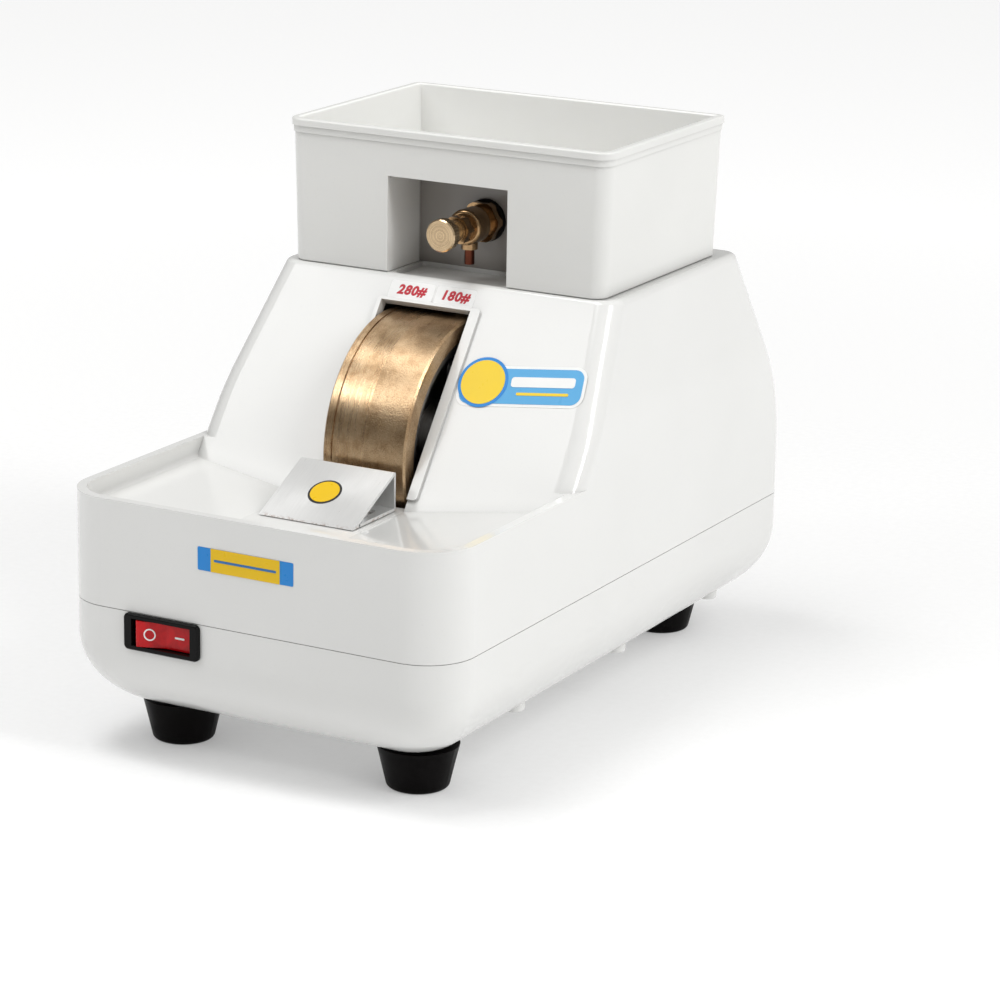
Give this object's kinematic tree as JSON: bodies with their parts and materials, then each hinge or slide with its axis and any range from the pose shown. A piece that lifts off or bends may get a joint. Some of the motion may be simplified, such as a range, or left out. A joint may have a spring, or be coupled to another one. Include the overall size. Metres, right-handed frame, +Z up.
{
  "type": "wet bench grinder",
  "caption": "Small wet bench grinder: white moulded housing with a splash basin, wide diamond wheel in a sloping slot, folded work rest, drip-water tank with brass valve and rocker switch.",
  "frame": {"origin": "centre of the footprint on the surface the feet stand on", "axes": "+X to the machine's right seen from the front, +Y to the back, +Z up; the switch and basin face -Y"},
  "size_m": [0.17, 0.2903, 0.225],
  "materials": {
    "housing_white": "glossy injection moulding",
    "tank_grey": "semi-gloss injection moulding",
    "black_rubber": "matte",
    "diamond_fine": "fine sintered diamond in a bronze bond",
    "diamond_coarse": "coarse sintered diamond in a bronze bond",
    "wheel_aluminium": "turned",
    "brass": "turned and lightly aged",
    "copper": "drawn tube",
    "stainless": "brushed sheet",
    "steel": "ground",
    "screw_steel": "zinc plated",
    "cast_aluminium": "as cast",
    "galvanised": "galvanised sheet",
    "motor_paint": "semi-gloss paint",
    "laminations": "varnished laminations",
    "windings": "enamelled copper wire",
    "trough_grey": "moulded",
    "black_plastic": "moulded",
    "switch_black": "glossy",
    "switch_red": "glossy translucent",
    "belt_rubber": "ribbed",
    "terminal_white": "moulded"
  },
  "bodies": {
    "housing": {"base_shell": "housing_white", "bearing_outer_rings": "steel", "bell_screws": "screw_steel", "block_screws": "screw_steel", "capacitor_clip": "galvanised", "case_screws": "screw_steel", "chassis_plate": "galvanised", "chassis_screws": "screw_steel", "cord_bushing": "black_rubber", "cradle_screws": "screw_steel", "drain_elbow": "black_plastic", "drive_belt": "belt_rubber", "foot_screws": "screw_steel", "left_bearing_block": "cast_aluminium", "left_end_bell": "cast_aluminium", "motor_bushes": "brass", "motor_cradle": "motor_paint", "motor_shell": "motor_paint", "motor_straps": "galvanised", "rest_screws": "screw_steel", "right_bearing_block": "cast_aluminium", "right_end_bell": "cast_aluminium", "rubber_feet": "black_rubber", "run_capacitor": "wheel_aluminium", "shaft_seals": "black_rubber", "stator_core": "laminations", "stator_windings": "windings", "strap_screws": "screw_steel", "switch_body": "switch_black", "switch_terminals": "brass", "terminal_block": "terminal_white", "terminal_screws": "screw_steel", "trough_screws": "screw_steel", "upper_housing": "housing_white", "water_trough": "trough_grey"},
    "wheel": {"fine_grit_band": "diamond_fine", "coarse_grit_band": "diamond_coarse", "wheel_hub": "wheel_aluminium", "spindle_shaft": "steel", "wheel_washer": "steel", "wheel_nut": "steel", "water_slingers": "black_rubber", "bearing_inner_rings": "steel", "spindle_pulley": "cast_aluminium"},
    "motor_rotor_body": {"motor_rotor": "laminations", "motor_shaft": "steel", "motor_fan": "black_plastic", "motor_pulley": "cast_aluminium"},
    "rocker": {"switch_rocker": "switch_red"},
    "rest": {"work_rest": "stainless"},
    "tank": {"tank_shell": "tank_grey", "valve_gasket": "black_rubber", "valve_body": "brass", "packing_nut": "brass", "drip_tube": "copper", "valve_locknut": "brass"},
    "knob": {"valve_knob": "brass"}
  },
  "joints": [
    {"name": "wheel_spin", "type": "hinge", "parent": "housing", "child": "wheel", "pos_m": [-0.004, -0.003, 0.104], "axis": [1, 0, 0], "continuous": true},
    {"name": "motor_spin", "type": "hinge", "parent": "housing", "child": "motor_rotor_body", "pos_m": [-0.004, 0.0965, 0.08], "axis": [1, 0, 0], "continuous": true},
    {"name": "rocker_tilt", "type": "hinge", "parent": "housing", "child": "rocker", "pos_m": [-0.0372, -0.137, 0.05315], "axis": [0, 0, 1], "range_deg": [-18, 0]},
    {"name": "tank_lift", "type": "slide", "parent": "housing", "child": "tank", "axis": [0, 0, 1], "range_m": [0, 0.1]},
    {"name": "valve_turn", "type": "hinge", "parent": "tank", "child": "knob", "pos_m": [0.0046, 0, 0.1873], "axis": [0, 1, 0], "range_deg": [0, 90]},
    {"name": "rest_slide", "type": "slide", "parent": "housing", "child": "rest", "axis": [0, 1, 0], "range_m": [-0.008, 0]}
  ],
  "couplings": [
    {"joint": "motor_spin", "follows": "wheel_spin", "ratio": 1.4762}
  ]
}
